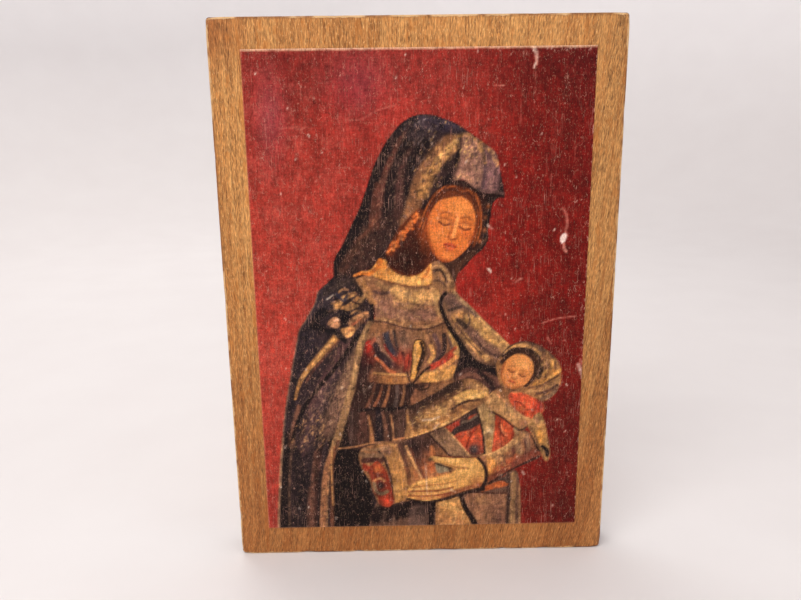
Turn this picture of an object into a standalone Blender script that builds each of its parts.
"""A small wooden wall plaque with a paper print glued to its front.

The board is a veneered panel: a core, two face veneers and four solid lippings round
its edges, all trimmed to one envelope with rounded corners and eased arrises. The back
carries a folded brass strap that holds a D-shaped hanging ring.

Frame: +Z up, the print faces -Y, X runs along the width. The origin is the centre of
the bottom of the whole plaque's bounding box. Lengths are in metres.
"""

import math

import bmesh
import bpy
from mathutils import Vector

MM = 0.001

# Board
BOARD_WIDTH = 120 * MM
BOARD_HEIGHT = 170 * MM
BOARD_THICKNESS = 12 * MM
CORNER_RADIUS = 1.0 * MM
ARRIS_RADIUS = 0.6 * MM
VENEER_THICKNESS = 0.6 * MM
LIPPING_THICKNESS = 2.5 * MM
GLUE_LINE = 0.1 * MM

# Print
PRINT_WIDTH = 101.6 * MM
PRINT_HEIGHT = 151.5 * MM
PRINT_THICKNESS = 0.25 * MM
PRINT_CENTRE_X = 0.2 * MM
PRINT_BOTTOM = 9.7 * MM

# Hanging ring and its strap
RING_AXIS_Z = 150 * MM
WIRE_RADIUS = 0.9 * MM
RING_HALF_WIDTH = 8.6 * MM
RING_LEG_LENGTH = 9.4 * MM
RING_CORNER_RADIUS = 2.0 * MM
STRAP_WIDTH = 10 * MM
STRAP_LEAF = 0.5 * MM
STRAP_LENGTH = 9.0 * MM
STRAP_CORNER_RADIUS = 1.6 * MM
WIRE_CLEARANCE = 0.25 * MM

# Nails
NAIL_SPACING = 5.2 * MM
NAIL_DROP = 5.4 * MM
NAIL_LENGTH = 7.0 * MM
NAIL_POINT = 1.6 * MM
NAIL_RADIUS = 0.55 * MM
NAIL_HEAD_RADIUS = 1.3 * MM
NAIL_HEAD_HEIGHT = 0.75 * MM
NAIL_CLEARANCE = 0.25 * MM

# Worked out from the sizes above
BORE_RADIUS = WIRE_RADIUS + WIRE_CLEARANCE
KNUCKLE_RADIUS = BORE_RADIUS + STRAP_LEAF
PRINT_STANDS_PROUD = GLUE_LINE + PRINT_THICKNESS
KNUCKLE_STANDS_PROUD = GLUE_LINE + 2 * KNUCKLE_RADIUS
TOTAL_DEPTH = PRINT_STANDS_PROUD + BOARD_THICKNESS + KNUCKLE_STANDS_PROUD
FRONT_Y = PRINT_STANDS_PROUD - TOTAL_DEPTH / 2
BACK_Y = FRONT_Y + BOARD_THICKNESS
CORE_FRONT_Y = FRONT_Y + VENEER_THICKNESS + GLUE_LINE
CORE_BACK_Y = BACK_Y - VENEER_THICKNESS - GLUE_LINE
HALF_WIDTH = BOARD_WIDTH / 2
STRAP_INNER_Y = BACK_Y + GLUE_LINE
STRAP_OUTER_Y = STRAP_INNER_Y + 2 * STRAP_LEAF
RING_AXIS_Y = STRAP_INNER_Y + KNUCKLE_RADIUS
NAIL_HEAD_Y = STRAP_OUTER_Y + GLUE_LINE
NAIL_Z = RING_AXIS_Z - NAIL_DROP
BEYOND = 5 * MM


def clear_scene():
    for item in list(bpy.data.objects):
        bpy.data.objects.remove(item, do_unlink=True)


def principled(name, colour, roughness, metallic=0.0):
    material = bpy.data.materials.new(name)
    material.use_nodes = True
    shader = material.node_tree.nodes["Principled BSDF"]
    shader.inputs["Base Color"].default_value = (*colour, 1.0)
    shader.inputs["Roughness"].default_value = roughness
    shader.inputs["Metallic"].default_value = metallic
    return material


def add_object(name, mesh_source, material=None, smooth_angle=None):
    """Turn a bmesh into a named object in the scene."""
    bmesh.ops.recalc_face_normals(mesh_source, faces=mesh_source.faces[:])
    mesh = bpy.data.meshes.new(name)
    mesh_source.to_mesh(mesh)
    mesh_source.free()
    if smooth_angle is not None:
        mesh.shade_smooth()
        mesh.set_sharp_from_angle(angle=math.radians(smooth_angle))
    item = bpy.data.objects.new(name, mesh)
    bpy.context.scene.collection.objects.link(item)
    if material is not None:
        mesh.materials.append(material)
    return item


def make_cutter(item):
    item.hide_render = True
    item.display_type = "WIRE"
    return item


def apply_boolean(item, cutter, operation):
    modifier = item.modifiers.new(f"{operation} {cutter.name}", "BOOLEAN")
    modifier.operation = operation
    modifier.solver = "EXACT"
    modifier.object = cutter


def box_source(low, high):
    """A bmesh box between two opposite corners."""
    low = Vector(low)
    high = Vector(high)
    source = bmesh.new()
    bmesh.ops.create_cube(source, size=1.0)
    size = high - low
    middle = (high + low) / 2
    for vertex in source.verts:
        vertex.co = Vector(vertex.co[i] * size[i] + middle[i] for i in range(3))
    return source


def edges_along(source, axis):
    """Edges of a bmesh that run parallel to one axis, 0 for X, 1 for Y, 2 for Z."""
    found = []
    for edge in source.edges:
        run = edge.verts[1].co - edge.verts[0].co
        if abs(run[axis]) > 0.999 * run.length:
            found.append(edge)
    return found


def make_envelope():
    """The finished outside of the board, which every wooden layer is trimmed to."""
    source = box_source((-HALF_WIDTH, FRONT_Y, 0), (HALF_WIDTH, BACK_Y, BOARD_HEIGHT))
    bmesh.ops.bevel(source, geom=edges_along(source, 1), offset=CORNER_RADIUS,
                    segments=6, profile=0.5, affect="EDGES")
    rims = [edge for edge in source.edges
            if abs(edge.verts[0].co.y - edge.verts[1].co.y) < GLUE_LINE]
    bmesh.ops.bevel(source, geom=rims, offset=ARRIS_RADIUS,
                    segments=4, profile=0.5, affect="EDGES")
    return make_cutter(add_object("board_envelope", source))


def make_wooden_layer(name, low, high, envelope, material):
    layer = add_object(name, box_source(low, high), material, smooth_angle=35)
    apply_boolean(layer, envelope, "INTERSECT")
    return layer


def make_board(envelope):
    """Core, face veneers and lippings. Returns the layers that the nails pass through."""
    oak = principled("oak_veneer", (0.50, 0.27, 0.10), 0.42)
    stained = principled("stained_lipping", (0.20, 0.095, 0.04), 0.48)
    particle = principled("particle_core", (0.42, 0.31, 0.19), 0.85)
    oak_back = principled("oak_back_veneer", (0.46, 0.27, 0.12), 0.55)
    side = HALF_WIDTH + BEYOND
    inner_x = HALF_WIDTH - LIPPING_THICKNESS
    inner_top = BOARD_HEIGHT - LIPPING_THICKNESS

    make_wooden_layer("front_veneer", (-side, FRONT_Y - BEYOND, -BEYOND),
                      (side, FRONT_Y + VENEER_THICKNESS, BOARD_HEIGHT + BEYOND), envelope, oak)
    back = make_wooden_layer("back_veneer", (-side, BACK_Y - VENEER_THICKNESS, -BEYOND),
                             (side, BACK_Y + BEYOND, BOARD_HEIGHT + BEYOND), envelope, oak_back)
    make_wooden_layer("lipping_left", (-side, CORE_FRONT_Y, -BEYOND),
                      (-inner_x, CORE_BACK_Y, BOARD_HEIGHT + BEYOND), envelope, stained)
    make_wooden_layer("lipping_right", (inner_x, CORE_FRONT_Y, -BEYOND),
                      (side, CORE_BACK_Y, BOARD_HEIGHT + BEYOND), envelope, stained)
    core_x = inner_x - GLUE_LINE
    make_wooden_layer("lipping_bottom", (-core_x, CORE_FRONT_Y, -BEYOND),
                      (core_x, CORE_BACK_Y, LIPPING_THICKNESS), envelope, stained)
    make_wooden_layer("lipping_top", (-core_x, CORE_FRONT_Y, inner_top),
                      (core_x, CORE_BACK_Y, BOARD_HEIGHT + BEYOND), envelope, stained)
    core = add_object("core_panel",
                      box_source((-core_x, CORE_FRONT_Y, LIPPING_THICKNESS + GLUE_LINE),
                                 (core_x, CORE_BACK_Y, inner_top - GLUE_LINE)), particle)
    return core, back


def make_print():
    paper = principled("printed_paper", (0.36, 0.05, 0.04), 0.38)
    left = PRINT_CENTRE_X - PRINT_WIDTH / 2
    low = (left, FRONT_Y - PRINT_STANDS_PROUD, PRINT_BOTTOM)
    high = (left + PRINT_WIDTH, FRONT_Y - GLUE_LINE, PRINT_BOTTOM + PRINT_HEIGHT)
    return add_object("print_sheet", box_source(low, high), paper)


def arc(centre_a, centre_b, radius, start, end, steps):
    """Points on an arc in a plane, from one angle to another, in degrees."""
    points = []
    for step in range(steps + 1):
        angle = math.radians(start + (end - start) * step / steps)
        points.append((centre_a + radius * math.cos(angle), centre_b + radius * math.sin(angle)))
    return points


def strap_outline():
    """The folded strap seen from its end, as (y, z) points round the knuckle."""
    low_z = RING_AXIS_Z - STRAP_LENGTH
    leaf_offset = STRAP_OUTER_Y - RING_AXIS_Y
    meets = -math.degrees(math.acos(leaf_offset / KNUCKLE_RADIUS))
    outline = [(STRAP_INNER_Y, low_z)]
    outline += arc(RING_AXIS_Y, RING_AXIS_Z, KNUCKLE_RADIUS, 180, meets, 28)
    outline.append((STRAP_OUTER_Y, low_z))
    return outline


def make_strap():
    """Folded brass strip: a knuckle for the ring above a plate with two nail holes."""
    brass = principled("strap_brass", (0.58, 0.40, 0.16), 0.38, 1.0)
    half = STRAP_WIDTH / 2
    source = bmesh.new()
    face = source.faces.new([source.verts.new((-half, y, z)) for y, z in strap_outline()])
    extruded = bmesh.ops.extrude_face_region(source, geom=[face])
    moved = [item for item in extruded["geom"] if isinstance(item, bmesh.types.BMVert)]
    bmesh.ops.translate(source, verts=moved, vec=(STRAP_WIDTH, 0, 0))
    lowest = RING_AXIS_Z - STRAP_LENGTH
    corners = [edge for edge in edges_along(source, 1)
               if abs(edge.verts[0].co.z - lowest) < GLUE_LINE]
    bmesh.ops.bevel(source, geom=corners, offset=STRAP_CORNER_RADIUS,
                    segments=5, profile=0.5, affect="EDGES")
    strap = add_object("hanger_strap", source, brass, smooth_angle=35)
    bore = turned_object("ring_bore", [(0, -STRAP_WIDTH), (BORE_RADIUS, -STRAP_WIDTH),
                                       (BORE_RADIUS, STRAP_WIDTH), (0, STRAP_WIDTH)],
                         (0, RING_AXIS_Y, RING_AXIS_Z), "X", 24)
    apply_boolean(strap, make_cutter(bore), "DIFFERENCE")
    return strap


def turned_object(name, profile, origin, axis, segments, material=None):
    """Turn (radius, distance along the axis) points about a line through origin.

    The profile starts and ends on the axis. The axis is "X" or "Y".
    """
    source = bmesh.new()
    rings = []
    for radius, along in profile:
        count = segments if radius > 0 else 1
        ring = []
        for step in range(count):
            angle = 2 * math.pi * step / segments
            across = radius * math.cos(angle)
            up = radius * math.sin(angle)
            offset = (along, across, up) if axis == "X" else (across, along, up)
            ring.append(source.verts.new(Vector(origin) + Vector(offset)))
        rings.append(ring)
    for first, second in zip(rings, rings[1:]):
        for step in range(segments):
            corners = [first[step % len(first)], first[(step + 1) % len(first)],
                       second[(step + 1) % len(second)], second[step % len(second)]]
            source.faces.new(list(dict.fromkeys(corners)))
    return add_object(name, source, material, smooth_angle=40)


def make_ring():
    """D-shaped ring of round wire: its straight side runs through the strap's knuckle."""
    brass = principled("ring_brass", (0.60, 0.42, 0.17), 0.34, 1.0)
    bend_x = RING_HALF_WIDTH - RING_CORNER_RADIUS
    bend_z = -RING_CORNER_RADIUS
    path = arc(bend_x, bend_z, RING_CORNER_RADIUS, 90, 0, 6)
    path += arc(0, -RING_LEG_LENGTH, RING_HALF_WIDTH, 0, -180, 24)
    path += arc(-bend_x, bend_z, RING_CORNER_RADIUS, 180, 90, 6)
    sides = 12
    source = bmesh.new()
    rings = []
    for index, (x, z) in enumerate(path):
        before = Vector(path[index - 1])
        after = Vector(path[(index + 1) % len(path)])
        here = Vector((x, z))
        tangent = ((here - before).normalized() + (after - here).normalized()).normalized()
        outward = Vector((-tangent.y, tangent.x))
        ring = []
        for step in range(sides):
            angle = 2 * math.pi * step / sides
            reach = WIRE_RADIUS * math.cos(angle)
            ring.append(source.verts.new((x + outward.x * reach,
                                          WIRE_RADIUS * math.sin(angle),
                                          z + outward.y * reach)))
        rings.append(ring)
    for index, ring in enumerate(rings):
        following = rings[(index + 1) % len(rings)]
        for step in range(sides):
            turn = (step + 1) % sides
            source.faces.new((ring[step], ring[turn], following[turn], following[step]))
    item = add_object("hanger_ring", source, brass, smooth_angle=60)
    item.location = (0, RING_AXIS_Y, RING_AXIS_Z)
    return item


def nail_profile():
    """Point, shank and domed head, as (radius, y) with y growing towards the head."""
    under_head = NAIL_HEAD_Y
    tip = under_head - NAIL_LENGTH
    profile = [(0, tip), (NAIL_RADIUS, tip + NAIL_POINT), (NAIL_RADIUS, under_head),
               (NAIL_HEAD_RADIUS, under_head)]
    dome_steps = 5
    for step in range(dome_steps + 1):
        angle = math.radians(12 + 78 * step / dome_steps)
        radius = NAIL_HEAD_RADIUS * math.cos(angle) if step < dome_steps else 0
        profile.append((radius, under_head + NAIL_HEAD_HEIGHT * math.sin(angle)))
    return profile


def make_nails(drilled):
    """Two brass pins, and the holes that they sit in."""
    depth = NAIL_HEAD_Y - NAIL_LENGTH - 2 * NAIL_CLEARANCE
    hole_radius = NAIL_RADIUS + NAIL_CLEARANCE
    for side, name in ((-1, "left"), (1, "right")):
        brass = principled(f"nail_{name}_brass", (0.62, 0.45, 0.20), 0.32, 1.0)
        origin = (side * NAIL_SPACING / 2, 0, NAIL_Z)
        turned_object(f"hanger_nail_{name}", nail_profile(), origin, "Y", 20, brass)
        hole = turned_object(f"nail_hole_{name}",
                             [(0, depth), (hole_radius, depth),
                              (hole_radius, BACK_Y + BEYOND), (0, BACK_Y + BEYOND)],
                             origin, "Y", 16)
        make_cutter(hole)
        for item in drilled:
            apply_boolean(item, hole, "DIFFERENCE")


def main():
    clear_scene()
    envelope = make_envelope()
    core, back = make_board(envelope)
    make_print()
    strap = make_strap()
    make_ring()
    make_nails([core, back, strap])


main()
